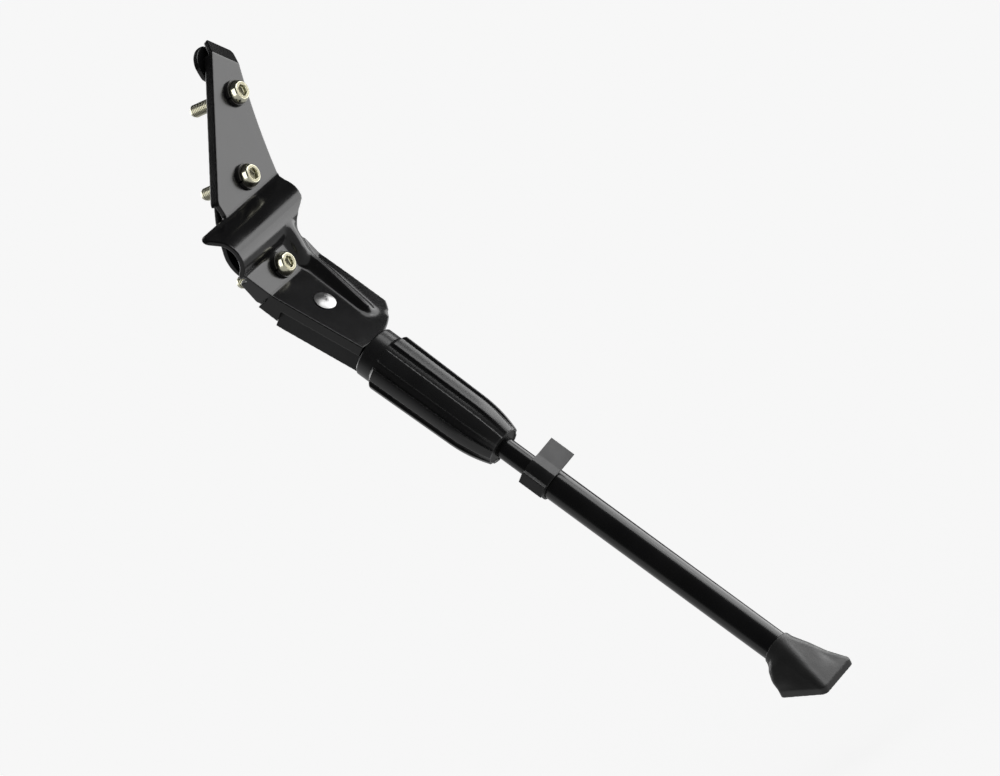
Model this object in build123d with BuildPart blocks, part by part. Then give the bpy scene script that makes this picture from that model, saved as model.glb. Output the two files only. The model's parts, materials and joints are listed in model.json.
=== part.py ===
from build123d import *
from math import cos, radians, sin, sqrt
import os

os.makedirs("parts", exist_ok=True)

# Pressed steel plates. Origin on the chainstay axis, +X to the rear of the bike, -Y outwards, +Z up.
sheet = 2.5
cover_sheet = 4.0
stay_radius = 8.5
crown_radius = stay_radius + sheet
wall_angle_upper = 116.0
wall_angle_lower = 228.0
inner_bend = 0.5
upper_y = 2.0
recess_y = -6.0
bend_z = -23.6
channel_left_x = -28.0
channel_top_z = 14.2
channel_low_z = -10.7
channel_low_x = -25.7
crown_right = (28.0, 1.5)
crown_shoulder = (31.6, 9.5)
neck_x = 19.6
neck_top_z = -3.0
neck_low_z = -10.5
crease_right_x = 36.6
plate_left_x = -7.4
plate_left_z = 21.5
plate_top_left = (42.3, 74.7)
plate_top_right = (53.5, 62.3)
plate_right_mid = (43.6, 37.5)
recess_left_x = -18.8
recess_right_x = 23.5
lip_length = 9.0
lip_angle = 29.0
lip_taper_left = 0.5
lip_taper_right = 0.2
lip_corner_left = 1.0
lip_corner_right = 2.6
flange_depth = 2.5

# Clamp bolts and the plate behind
bolt_sites = [(40.7, 53.6), (17.8, 22.1)]
low_bolt_site = (-1.9, -16.5)
bolt_radius = 3.0
bolt_length = 28.8
bolt_hole_fit = 0.25
bolt_chamfer = 0.6
head_radius = 5.5
head_height = 3.3
head_edge = 0.9
head_crown = 4.0
socket_flats = 5.0
socket_depth = 2.1
washer_radius = 6.1
washer_height = 1.6
washer_split = 0.9
thread_fit = 0.06
plate_gap = 3.9
rear_left_x = -19.0
rear_right_x = 26.0
rear_foot_z = -27.0
rear_channel_z = 6.0
rear_channel_low_z = -12.5
rear_right_low_z = -8.0
rear_waist_z = -14.5
rear_dish = 3.8
rear_dish_z = -3.2
rear_dish_low_z = -12.0
rear_jog = 5.5
rear_jog_round = 2.0
dish_round = 12.0
rear_low_round = 2.5
ear_flare = 1.5
rear_ear_left = -11.0
rear_ear_right = 9.0
rear_hip = (-7.0, 12.5)
rear_shoulder = (1.8, 23.4)
rear_arm_left = (34.2, 54.5)
rear_neck_left = (39.5, 62.0)
rear_neck_right = (46.0, 42.0)
lobe_left_x = 36.4
lobe_left_z = 66.0
lobe_peak = (46.4, 78.1)
lobe_tip = (54.0, 69.7)
lobe_right = (50.5, 58.0)
collar_radius = 5.0
collar_height = 2.5

# Splayed floor, leg direction and pivot
splay = 34.0
lean = 5.25
pivot_x = -2.1
pivot_drop = 18.8
pivot_gap = 9.2
swing_radius = 29.4
floor_right_w = 24.2
floor_shoulder_u = -4.0
floor_end_left_w = -10.3
skirt_depth = 5.5
skirt_deep = 11.2
skirt_step_u = -10.5
gusset_lead = 2.0
gusset_lead_deep = 6.5
gusset_deep = 9.4
skirt_lap = 3.5
bead_height = 4.6
bead_inner_w = 8.0
bead_outer_w = 19.4
bead_end_u = 17.5
bead_corner = 5.0
crest_width = 4.6
crest_setback = 1.7
crest_corner = 2.2
crest_round = 1.4
bead_root = 0.5
pin_radius = 4.0
pin_seat_fit = 0.02
pin_running_fit = 0.05
rivet_head_radius = 5.1
rivet_head_height = 1.3
rivet_tail_radius = 5.6
rivet_tail_height = 1.5
rivet_washer_radius = 7.5
rivet_washer_height = 1.0
cover_wall = 2.0
cover_right_w = 16.0

# Leg, measured from the pivot along the leg
rod_radius = 5.0
rod_flat = 4.2
eye_radius = 8.6
rod_reach = 83.5
slide_fit = 0.06
sleeve_gap = 0.3
sleeve_length = 74.8
band_radius = 12.0
band_length = 8.3
land_top_radius = 13.95
land_low_radius = 13.15
land_end_radius = 9.6
flute_top_radius = 12.1
flute_low_radius = 11.6
flute_end_radius = 9.05
nose_length = 20.5
flute_count = 8
flute_angle = 17.0
band_round = 0.8
land_round = 1.2
chamber_radius = 8.4
bush_length = 7.0
bush_recess = 0.5
spring_wire = 1.8
spring_radius = 6.9
spring_turns = 6
spring_space = 50.2
seat_height = 1.5
seat_radius = 8.1
ring_height = 1.0
ring_radius = 7.0
groove_radius = 4.4
ring_gap_angle = 60.0
tube_radius = 7.0
tube_gap = 17.0
tube_length = 153.5
index_inset = 6.0
index_pitch = 8.0
index_count = 6
index_radius = 1.7
index_depth = 3.2

# Length clip
clip_lap = 0.5
clip_width = 13.0
clip_sheet = 1.0
clip_fit = 0.05
clip_start_angle = 113.0
clip_sweep = 247.0
tab_base = 3.5
tab_face = 9.5
tab_base_angle = 23.0
tab_face_angle = 37.0
lug_outer = 9.4
lug_half = 3.1
lug_length = 12.6
lock_pin_radius = 1.6
lock_pin_reach = 2.4

# Foot
foot_socket = 15.4
foot_collar = 15.6
foot_collar_corner = 7.7
foot_neck = 12.4
foot_waist = 15.8
foot_toe = 5.9
foot_width = 24.4
foot_depth = 27.0
foot_corner = 2.6
foot_pad = 3.3
sole_normal = (0.198, -0.725, 0.659)

press_bend = sheet + inner_bend
bolt_hole = bolt_radius + bolt_hole_fit
sleeve_top_u = swing_radius + sleeve_gap
land_start_u = sleeve_top_u + band_length
chamber_start_u = land_start_u
sleeve_end_u = sleeve_top_u + sleeve_length
nose_start_u = sleeve_end_u - nose_length
bush_end_u = sleeve_end_u - bush_recess
seat_start_u = chamber_start_u + spring_space
tube_top_u = sleeve_end_u + tube_gap
tube_end_u = tube_top_u + tube_length
index_start_u = tube_top_u + index_inset
rod_end_u = tube_top_u + rod_reach
clip_top_u = tube_top_u - clip_lap
foot_top_u = tube_end_u - foot_socket
foot_waist_u = tube_end_u - foot_neck
foot_sole_u = tube_end_u + foot_toe
trim_depth = swing_radius + pivot_drop + plate_top_left[1]
front_seats = [(x, upper_y, z) for x, z in bolt_sites] + [(low_bolt_site[0], recess_y, low_bolt_site[1])]
rear_seats = [(x, y + sheet + plate_gap, z) for x, y, z in front_seats]
bike_rear = Vector(1, 0, 0)
out = Vector(0, -cos(radians(splay)), sin(radians(splay)))
floor_down = Vector(0, -sin(radians(splay)), -cos(radians(splay)))
leg_dir = floor_down * cos(radians(lean)) - bike_rear * sin(radians(lean))
leg_side = bike_rear * cos(radians(lean)) + floor_down * sin(radians(lean))
floor_out = pivot_gap / 2 + sheet
pivot = Vector(pivot_x, recess_y, bend_z) + floor_down * pivot_drop - out * floor_out
leg = Plane(origin=pivot, x_dir=leg_side, z_dir=leg_dir)
flat = Plane(origin=pivot, x_dir=leg_side, z_dir=out * -1)
leg_axis = Axis(pivot, leg_dir)


def on_leg(w, n, u):
    return pivot + leg_side * w + out * n + leg_dir * u


def leg_coords(point):
    arm = point - pivot
    return (arm.dot(leg_side), arm.dot(leg_dir))


def back_face(path, bends):
    points = [Vector(*point) for point in path]
    runs = [(end - start).normalized() for start, end in zip(points, points[1:])]
    sides = [Vector(-run.Y, run.X) for run in runs]
    moved = [points[0] + sides[0] * sheet]
    radii = []
    for point, before, after, bend in zip(points[1:-1], sides, sides[1:], bends):
        moved.append(point + (before + after) * (sheet / (1 + before.dot(after))))
        radii.append(bend - sheet if before.cross(after).Z > 0 else bend + sheet)
    moved.append(points[-1] + sides[-1] * sheet)
    return [(point.X, point.Y) for point in moved], radii


def wall_meets(angle, y):
    return (crown_radius - y * cos(radians(angle))) / sin(radians(angle))


# Front plate: section along X, trimmed to its outline, then bead, skirt and lip
crown_mid = radians((wall_angle_upper + wall_angle_lower) / 2)
crown_reach = crown_radius / cos(radians((wall_angle_lower - wall_angle_upper) / 2))
crown_tip = (crown_reach * cos(crown_mid), crown_reach * sin(crown_mid))
floor_tail = Vector(0, recess_y, bend_z) + floor_down * trim_depth
front_path = [
    (upper_y, plate_top_left[1] + sheet),
    (upper_y, wall_meets(wall_angle_upper, upper_y)),
    crown_tip,
    (recess_y, wall_meets(wall_angle_lower, recess_y)),
    (recess_y, bend_z),
    (floor_tail.Y, floor_tail.Z),
]
front_bends = [press_bend, crown_radius, press_bend, press_bend]
front_back, front_back_bends = back_face(front_path, front_bends)
crease_z = wall_meets(wall_angle_upper, upper_y)
front_outline = [
    plate_top_right,
    plate_top_left,
    (plate_left_x, plate_left_z),
    (plate_left_x, channel_top_z),
    (channel_left_x, channel_top_z),
    (channel_left_x, channel_low_z + 1.5),
    (channel_low_x, channel_low_z),
    (recess_left_x, bend_z),
    (recess_right_x, bend_z),
    (neck_x, neck_low_z),
    (neck_x, neck_top_z),
    crown_right,
    crown_shoulder,
    (crease_right_x, crease_z),
]
front_corners = [0, 4, 1, 3, 1, 1, 0, 0, 6, 4, 3, 8]
bend_left = Vector(recess_left_x, recess_y, bend_z)
bend_right = Vector(recess_right_x, recess_y, bend_z)
bend_left_wu = leg_coords(bend_left)
bend_right_wu = leg_coords(bend_right)
arc_start_u = sqrt(swing_radius**2 - floor_right_w**2)
arc_mid = swing_radius * sin(radians(45.0)) * 0.5
arc_mid_u = sqrt(swing_radius**2 - arc_mid**2)

with BuildPart() as front_trim:
    with BuildSketch(Plane.XZ):
        with BuildLine():
            FilletPolyline(*front_outline, radius=front_corners)
            ThreePointArc((crease_right_x, crease_z), plate_right_mid, plate_top_right)
        make_face()
    extrude(amount=trim_depth, both=True)
    with BuildSketch(flat.offset(-floor_out - bead_height - sheet)):
        with BuildLine():
            Polyline(
                (0, swing_radius),
                (floor_end_left_w, swing_radius),
                bend_left_wu,
                bend_right_wu,
                (floor_right_w, floor_shoulder_u),
                (floor_right_w, arc_start_u),
            )
            ThreePointArc((floor_right_w, arc_start_u), (arc_mid, arc_mid_u), (0, swing_radius))
        make_face()
    extrude(amount=floor_out + bead_height + sheet)

bead_mid = (bead_inner_w + bead_outer_w) / 2
crest_mid = bead_inner_w + crest_setback + crest_width / 2
bead_width = bead_outer_w - bead_inner_w
bead_drop = -bend_z
bead_run = bead_end_u - bend_right_wu[1]
with BuildPart() as recess_bead:
    with BuildSketch(Plane.XZ.offset(-recess_y - bead_root)):
        with Locations((bead_mid, -bead_drop / 2 - bead_root)):
            Rectangle(bead_width, bead_drop - bead_root)
    with BuildSketch(Plane.XZ.offset(-recess_y + bead_height)):
        with Locations((crest_mid, -bead_drop / 2 - bead_root)):
            Rectangle(crest_width, bead_drop - bead_root)
    loft(ruled=True)
    fillet(recess_bead.faces().sort_by(Axis.Y)[0].edges().filter_by(Axis.Z), radius=crest_round)

with BuildPart() as floor_bead:
    with BuildSketch(flat.offset(bead_root - floor_out)):
        with Locations((bead_mid, bead_end_u - bead_run / 2)):
            RectangleRounded(bead_width, bead_run, bead_corner)
    with BuildSketch(flat.offset(-floor_out - bead_height)):
        with Locations((crest_mid, bead_end_u - bead_run / 2)):
            RectangleRounded(crest_width, bead_run - 2 * crest_setback, crest_corner)
    loft(ruled=True)
    fillet(floor_bead.faces().sort_by(Axis(pivot, out))[-1].edges(), radius=crest_round)

skirt_run = Vector(floor_end_left_w - bend_left_wu[0], swing_radius - bend_left_wu[1])
skirt_plane = Plane(
    origin=bend_left,
    x_dir=leg_side * skirt_run.X + leg_dir * skirt_run.Y,
    z_dir=leg_side * skirt_run.Y - leg_dir * skirt_run.X,
)
skirt_step = (skirt_step_u - bend_left_wu[1]) * skirt_run.length / skirt_run.Y
gusset_start = Vector(channel_low_x, recess_y, channel_low_z)
gusset_run = bend_left - gusset_start
gusset_plane = Plane(origin=gusset_start, x_dir=gusset_run, z_dir=(-gusset_run.Z, 0, gusset_run.X))
gusset_tail_x = gusset_run.length + gusset_deep * sin(radians(splay)) * -gusset_run.Z / gusset_run.length
flange_run = Vector(plate_top_left[0] - plate_left_x, plate_top_left[1] - plate_left_z).normalized()
flange_side = Vector(flange_run.Y, -flange_run.X) * sheet
lip_run = Vector(plate_top_right[0] - plate_top_left[0], 0, plate_top_right[1] - plate_top_left[1])
lip_lean = Vector(-lip_run.Z, 0, lip_run.X).normalized()
lip_plane = Plane(
    origin=(plate_top_left[0], upper_y, plate_top_left[1]),
    x_dir=lip_run,
    z_dir=lip_lean * -sin(radians(lip_angle)) + Vector(0, cos(radians(lip_angle)), 0),
)

with BuildPart() as front_plate:
    with BuildSketch(Plane.YZ.offset(channel_left_x)):
        with BuildLine():
            face = FilletPolyline(*front_path, radius=front_bends)
            back = FilletPolyline(*front_back, radius=front_back_bends)
            Line(face @ 0, back @ 0)
            Line(face @ 1, back @ 1)
        make_face()
    extrude(amount=plate_top_right[0] - channel_left_x + sheet)
    with BuildSketch(Plane.XZ.offset(-upper_y - sheet)):
        with BuildLine():
            Polyline(
                (plate_left_x - sheet, plate_left_z),
                (plate_top_left[0] - sheet, plate_top_left[1]),
                (plate_top_left[0] + flange_side.X, plate_top_left[1] + flange_side.Y),
                (plate_left_x + flange_side.X, plate_left_z + flange_side.Y),
                close=True,
            )
        make_face()
    extrude(amount=-flange_depth)
    add(front_trim.part, mode=Mode.INTERSECT)
    add([recess_bead.part, floor_bead.part])
    with BuildSketch(skirt_plane):
        with BuildLine():
            Polyline(
                (0, 0),
                (skirt_run.length, 0),
                (skirt_run.length, skirt_depth),
                (skirt_step, skirt_depth),
                (skirt_step, skirt_deep),
                (-skirt_lap, gusset_deep),
                close=True,
            )
        make_face()
    extrude(amount=sheet)
    with BuildSketch(gusset_plane):
        with BuildLine():
            Polyline(
                (gusset_lead, 0),
                (gusset_run.length, 0),
                (gusset_tail_x, gusset_deep * cos(radians(splay))),
                (gusset_run.length, gusset_deep),
                (gusset_lead, gusset_lead_deep),
                close=True,
            )
        make_face()
    extrude(amount=sheet)
    with BuildSketch(lip_plane):
        with BuildLine():
            FilletPolyline(
                (0, 0),
                (lip_run.length, 0),
                (lip_run.length - lip_taper_right, -lip_length),
                (lip_taper_left, -lip_length),
                radius=[0, 0, lip_corner_right, lip_corner_left],
                close=True,
            )
        make_face()
    extrude(amount=sheet)
    with Locations(*[Plane(origin=(x, upper_y, z), z_dir=(0, 1, 0)) for x, z in bolt_sites]):
        Cylinder(bolt_hole, 4 * sheet, mode=Mode.SUBTRACT)
    with Locations(Plane(origin=(low_bolt_site[0], recess_y, low_bolt_site[1]), z_dir=(0, 1, 0))):
        Cylinder(bolt_hole, 4 * sheet, mode=Mode.SUBTRACT)
    with Locations(Plane(origin=pivot + out * floor_out, z_dir=out)):
        Cylinder(pin_radius + pin_seat_fit, 4 * sheet, mode=Mode.SUBTRACT)

front_plate.part.label = "front_plate"
export_step(front_plate.part, "parts/front_plate.step")

# Rear plate: the same joggle one plate gap behind, shallow channel, tapped collars
rear_upper_y = upper_y + sheet + plate_gap
rear_lower_y = recess_y + sheet + plate_gap
rear_path = [
    (rear_upper_y, lobe_peak[1] + sheet),
    (rear_upper_y, crease_z),
    (rear_lower_y, crease_z - rear_jog),
    (rear_lower_y + rear_dish, rear_dish_z),
    (rear_lower_y, rear_dish_low_z),
    (rear_lower_y, rear_foot_z - sheet),
]
rear_bends = [press_bend, rear_jog_round + sheet, dish_round, rear_low_round + sheet]
rear_back, rear_back_bends = back_face(rear_path, rear_bends)
rear_outline = [
    (lobe_left_x, lobe_left_z),
    (lobe_left_x, lobe_peak[1]),
    lobe_peak,
    lobe_tip,
    lobe_right,
    rear_neck_right,
    (rear_right_x, crease_z),
    (rear_right_x, rear_right_low_z),
    (rear_ear_right + ear_flare, rear_waist_z),
    (rear_ear_right, rear_foot_z),
    (rear_ear_left, rear_foot_z),
    (rear_ear_left - ear_flare, rear_waist_z),
    (rear_left_x, rear_channel_low_z),
    (rear_left_x, rear_channel_z),
    rear_hip,
    rear_shoulder,
    rear_arm_left,
    rear_neck_left,
]
rear_corners = [2, 8, 2.5, 3, 6, 8, 5, 6, 3, 5, 5, 3, 3, 3, 6, 12, 4, 2.5]

with BuildPart() as rear_plate:
    with BuildSketch(Plane.YZ.offset(rear_left_x)):
        with BuildLine():
            face = FilletPolyline(*rear_path, radius=rear_bends)
            back = FilletPolyline(*rear_back, radius=rear_back_bends)
            Line(face @ 0, back @ 0)
            Line(face @ 1, back @ 1)
        make_face()
    extrude(amount=lobe_tip[0] + sheet - rear_left_x)
    with BuildSketch(Plane.XZ):
        with BuildLine():
            FilletPolyline(*rear_outline, radius=rear_corners, close=True)
        make_face()
    extrude(amount=trim_depth, both=True, mode=Mode.INTERSECT)
    for x, y, z in rear_seats:
        with Locations(Plane(origin=(x, y + sheet, z), z_dir=(0, 1, 0))):
            Cylinder(collar_radius, collar_height, align=(Align.CENTER, Align.CENTER, Align.MIN))
        with Locations(Plane(origin=(x, y, z), z_dir=(0, 1, 0))):
            Cylinder(bolt_radius + thread_fit, 4 * (sheet + collar_height), mode=Mode.SUBTRACT)

rear_plate.part.label = "rear_plate"
export_step(rear_plate.part, "parts/rear_plate.step")

# Bolts and split washers, heads on the outside of the front plate
with BuildPart() as clamp_bolts:
    for x, y, z in front_seats:
        seat = Plane(origin=(x, y - washer_height, z), z_dir=(0, 1, 0))
        with BuildSketch(Plane(origin=seat.origin, x_dir=(1, 0, 0), z_dir=(0, 0, 1))):
            with BuildLine():
                Polyline(
                    (0, bolt_length),
                    (bolt_radius - bolt_chamfer, bolt_length),
                    (bolt_radius, bolt_length - bolt_chamfer),
                    (bolt_radius, 0),
                    (head_radius, 0),
                    (head_radius, -head_edge),
                )
                ThreePointArc(
                    (head_radius, -head_edge),
                    (head_radius * 0.9, -head_height * 0.68),
                    (head_crown, -head_height),
                )
                Polyline((head_crown, -head_height), (0, -head_height), (0, bolt_length))
            make_face()
        revolve(axis=Axis(seat.origin, (0, 1, 0)))
        with BuildSketch(seat.offset(-head_height)):
            RegularPolygon(socket_flats / 2, 6, major_radius=False)
        extrude(amount=socket_depth, mode=Mode.SUBTRACT)

clamp_bolts.part.label = "clamp_bolts"
export_step(clamp_bolts.part, "parts/clamp_bolts.step")

with BuildPart() as lock_washers:
    for x, y, z in front_seats:
        with BuildSketch(Plane(origin=(x, y, z), z_dir=(0, -1, 0))):
            Circle(washer_radius)
            Circle(bolt_hole, mode=Mode.SUBTRACT)
            with Locations((0, -washer_radius)):
                Rectangle(washer_split, 2 * (washer_radius - bolt_hole) + washer_split, mode=Mode.SUBTRACT)
        extrude(amount=washer_height)

lock_washers.part.label = "lock_washers"
export_step(lock_washers.part, "parts/lock_washers.step")

# Pivot cover behind the leg's eye, its side wall nested in the front skirt
cover_lead = (sheet + pin_seat_fit) * skirt_run.length / skirt_run.Y
cover_slope = skirt_run.X / skirt_run.Y
cover_end_w = floor_end_left_w + cover_lead
cover_top_u = skirt_step_u + pin_seat_fit
cover_top_w = cover_end_w + (cover_top_u - swing_radius) * cover_slope
cover_wall_w = cover_wall * skirt_run.length / skirt_run.Y

with BuildPart() as pivot_cover:
    with BuildSketch(flat.offset(pivot_gap / 2)):
        with BuildLine():
            Polyline(
                (0, swing_radius),
                (cover_end_w, swing_radius),
                (cover_top_w, cover_top_u),
                (cover_right_w - 4.0, cover_top_u),
                (cover_right_w, cover_top_u + 4.0),
                (cover_right_w, sqrt(swing_radius**2 - cover_right_w**2)),
            )
            ThreePointArc(
                (cover_right_w, sqrt(swing_radius**2 - cover_right_w**2)),
                (arc_mid, arc_mid_u),
                (0, swing_radius),
            )
        make_face()
    extrude(amount=cover_sheet)
    with BuildSketch(flat.offset(-pivot_gap / 2 + pin_seat_fit)):
        with BuildLine():
            Polyline(
                (cover_end_w, swing_radius),
                (cover_top_w, cover_top_u),
                (cover_top_w + cover_wall_w, cover_top_u),
                (cover_end_w + cover_wall_w, swing_radius),
                close=True,
            )
        make_face()
    extrude(amount=pivot_gap + cover_sheet - pin_seat_fit)
    with Locations(Plane(origin=pivot - out * (pivot_gap / 2), z_dir=out)):
        Cylinder(pin_radius + pin_seat_fit, 4 * cover_sheet, mode=Mode.SUBTRACT)

pivot_cover.part.label = "pivot_cover"
export_step(pivot_cover.part, "parts/pivot_cover.step")

# Pivot rivet through floor, eye and cover, closed over a washer
rivet_back = pivot_gap / 2 + cover_sheet + rivet_washer_height
with BuildPart() as pivot_rivet:
    with BuildSketch(Plane(origin=pivot, x_dir=leg_side, z_dir=leg_dir)):
        with BuildLine():
            Polyline(
                (0, floor_out + rivet_head_height),
                (0, -rivet_back - rivet_tail_height),
                (rivet_tail_radius * 0.5, -rivet_back - rivet_tail_height),
                (rivet_tail_radius, -rivet_back - rivet_tail_height * 0.4),
                (rivet_tail_radius, -rivet_back),
                (pin_radius, -rivet_back),
                (pin_radius, floor_out),
                (rivet_head_radius, floor_out),
                (rivet_head_radius, floor_out + rivet_head_height * 0.3),
            )
            TangentArc(
                (0, floor_out + rivet_head_height),
                (rivet_head_radius, floor_out + rivet_head_height * 0.3),
                tangent=(1, 0),
            )
        make_face()
    revolve(axis=Axis(pivot, out))

pivot_rivet.part.label = "pivot_rivet"
export_step(pivot_rivet.part, "parts/pivot_rivet.step")

with BuildPart() as rivet_washer:
    with BuildSketch(flat.offset(pivot_gap / 2 + cover_sheet)):
        Circle(rivet_washer_radius)
        Circle(pin_radius + pin_seat_fit, mode=Mode.SUBTRACT)
    extrude(amount=rivet_washer_height)

rivet_washer.part.label = "rivet_washer"
export_step(rivet_washer.part, "parts/rivet_washer.step")

# Leg rod: forged eye with flats, round below, groove for the ring, index holes on the side
ring_start_u = seat_start_u + seat_height
with BuildPart() as leg_rod:
    with BuildSketch(leg):
        Circle(rod_radius)
    extrude(amount=rod_end_u)
    chamfer(leg_rod.edges().sort_by(leg_axis)[-1], length=1.0)
    with BuildSketch(flat):
        Circle(eye_radius)
        with BuildLine():
            Polyline(
                (-eye_radius * 0.93, eye_radius * 0.36),
                (eye_radius * 0.93, eye_radius * 0.36),
                (rod_radius, 2.2 * eye_radius),
                (-rod_radius, 2.2 * eye_radius),
                close=True,
            )
        make_face()
    extrude(amount=rod_flat, both=True)
    for side in (1, -1):
        with BuildSketch(flat.offset(side * rod_flat)):
            with Locations((0, sleeve_top_u / 2)):
                Rectangle(4 * rod_radius, sleeve_top_u + 2 * rod_radius)
        extrude(amount=side * rod_radius, mode=Mode.SUBTRACT)
    with Locations(Plane(origin=pivot, z_dir=out)):
        Cylinder(pin_radius + pin_running_fit, 4 * eye_radius, mode=Mode.SUBTRACT)
    with BuildSketch(leg.offset(ring_start_u)):
        Circle(2 * rod_radius)
        Circle(groove_radius, mode=Mode.SUBTRACT)
    extrude(amount=ring_height, mode=Mode.SUBTRACT)
    for step in range(index_count):
        hole_centre = on_leg(-rod_radius, 0, index_start_u + step * index_pitch)
        with Locations(Plane(origin=hole_centre, z_dir=leg_side)):
            Cylinder(index_radius, 2 * index_depth, mode=Mode.SUBTRACT)

leg_rod.part.label = "leg_rod"
export_step(leg_rod.part, "parts/leg_rod.step")

# Spring on the rod between the sleeve's shoulder and the seat
spring_start_u = chamber_start_u + spring_wire / 2
spring_span = seat_start_u - chamber_start_u - spring_wire
with BuildPart() as detent_spring:
    with BuildLine():
        coil = Helix(
            spring_span / spring_turns,
            spring_span,
            spring_radius,
            center=on_leg(0, 0, spring_start_u),
            direction=leg_dir,
        )
    with BuildSketch(Plane(origin=coil @ 0, z_dir=coil % 0)):
        RegularPolygon(spring_wire / 2, 8)
    sweep(path=coil, is_frenet=True)

detent_spring.part.label = "detent_spring"
export_step(detent_spring.part, "parts/detent_spring.step")

with BuildPart() as spring_seat:
    with BuildSketch(leg.offset(seat_start_u)):
        Circle(seat_radius)
        Circle(rod_radius + slide_fit, mode=Mode.SUBTRACT)
    extrude(amount=seat_height)

spring_seat.part.label = "spring_seat"
export_step(spring_seat.part, "parts/spring_seat.step")

with BuildPart() as retaining_ring:
    with BuildSketch(leg.offset(ring_start_u)):
        Circle(ring_radius)
        Circle(groove_radius + pin_seat_fit, mode=Mode.SUBTRACT)
        with BuildLine():
            ring_mouth = 2 * ring_radius * sin(radians(ring_gap_angle / 2))
            Polyline((0, 0), (2 * ring_radius, ring_mouth), (2 * ring_radius, -ring_mouth), close=True)
        make_face(mode=Mode.SUBTRACT)
    extrude(amount=ring_height)

retaining_ring.part.label = "retaining_ring"
export_step(retaining_ring.part, "parts/retaining_ring.step")

# Sleeve: plain band at the bracket, eight lands between flutes, tapering to the lower end
with BuildPart() as grip_sleeve:
    with BuildSketch(flat):
        with BuildLine():
            land = Line((land_top_radius, land_start_u + land_round), (land_low_radius, nose_start_u))
            nose = TangentArc(land @ 1, (land_end_radius, sleeve_end_u), tangent=land % 1)
            Polyline(
                nose @ 1,
                (chamber_radius, sleeve_end_u),
                (chamber_radius, chamber_start_u),
                (rod_radius + slide_fit, chamber_start_u),
                (rod_radius + slide_fit, sleeve_top_u),
                (band_radius - band_round, sleeve_top_u),
                (band_radius, sleeve_top_u + band_round),
                (band_radius, land_start_u),
                (land_top_radius - land_round, land_start_u),
                land @ 0,
            )
        make_face()
    revolve(axis=leg_axis)
    with BuildSketch(flat):
        with BuildLine():
            valley = Line((flute_top_radius, land_start_u), (flute_low_radius, nose_start_u))
            dip = TangentArc(valley @ 1, (flute_end_radius, sleeve_end_u), tangent=valley % 1)
            Polyline(
                dip @ 1,
                (flute_end_radius, sleeve_end_u + band_round),
                (2 * band_radius, sleeve_end_u + band_round),
                (2 * band_radius, land_start_u),
                valley @ 0,
            )
        make_face()
    flute = revolve(axis=leg_axis, revolution_arc=flute_angle, mode=Mode.PRIVATE)
    for step in range(flute_count):
        turn = 360.0 * (step + 0.5) / flute_count - flute_angle / 2
        add(flute.rotate(leg_axis, turn), mode=Mode.SUBTRACT)

grip_sleeve.part.label = "grip_sleeve"
export_step(grip_sleeve.part, "parts/grip_sleeve.step")

with BuildPart() as sleeve_bush:
    with BuildSketch(leg.offset(bush_end_u - bush_length)):
        Circle(chamber_radius)
        Circle(rod_radius + slide_fit, mode=Mode.SUBTRACT)
    extrude(amount=bush_length)

sleeve_bush.part.label = "sleeve_bush"
export_step(sleeve_bush.part, "parts/sleeve_bush.step")

# Lower tube with the lock pin's hole
with BuildPart() as leg_tube:
    with BuildSketch(leg.offset(tube_top_u)):
        Circle(tube_radius)
        Circle(rod_radius + slide_fit, mode=Mode.SUBTRACT)
    extrude(amount=tube_end_u - tube_top_u)
    with Locations(Plane(origin=on_leg(-tube_radius, 0, index_start_u), z_dir=leg_side)):
        Cylinder(index_radius, 2 * tube_radius - rod_radius, mode=Mode.SUBTRACT)

leg_tube.part.label = "leg_tube"
export_step(leg_tube.part, "parts/leg_tube.step")

# Spring clip round the tube with thumb tab, lug and lock pin
clip_inner = tube_radius + clip_fit
clip_outer = clip_inner + clip_sheet
clip_mid = clip_inner + clip_sheet / 2
tab_root = Vector(clip_mid * cos(radians(clip_start_angle)), clip_mid * sin(radians(clip_start_angle)))
tab_knee = tab_root + Vector(cos(radians(tab_base_angle)), sin(radians(tab_base_angle))) * tab_base
tab_tip = tab_knee + Vector(cos(radians(tab_face_angle)), sin(radians(tab_face_angle))) * tab_face
with BuildPart() as length_clip:
    with BuildSketch(leg.offset(clip_top_u)):
        with BuildLine():
            inner = CenterArc((0, 0), clip_inner, clip_start_angle, clip_sweep)
            outer = CenterArc((0, 0), clip_outer, clip_start_angle, clip_sweep)
            Line(inner @ 0, outer @ 0)
            Line(inner @ 1, outer @ 1)
        make_face()
        with BuildLine() as tab_line:
            Polyline((tab_root.X, tab_root.Y), (tab_knee.X, tab_knee.Y), (tab_tip.X, tab_tip.Y))
        trace(tab_line.line, line_width=clip_sheet)
    extrude(amount=clip_width)
    with BuildSketch(leg.offset(clip_top_u + (clip_width - lug_length) / 2)):
        with Locations((-(clip_mid + lug_outer) / 2, 0)):
            Rectangle(lug_outer - clip_mid, 2 * lug_half)
    extrude(amount=lug_length)
    with Locations(Plane(origin=on_leg(-lug_outer + clip_sheet, 0, index_start_u), z_dir=leg_side)):
        pin_length = lug_outer - clip_sheet - lock_pin_reach
        Cylinder(lock_pin_radius, pin_length, align=(Align.CENTER, Align.CENTER, Align.MIN))

length_clip.part.label = "length_clip"
export_step(length_clip.part, "parts/length_clip.step")

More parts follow.
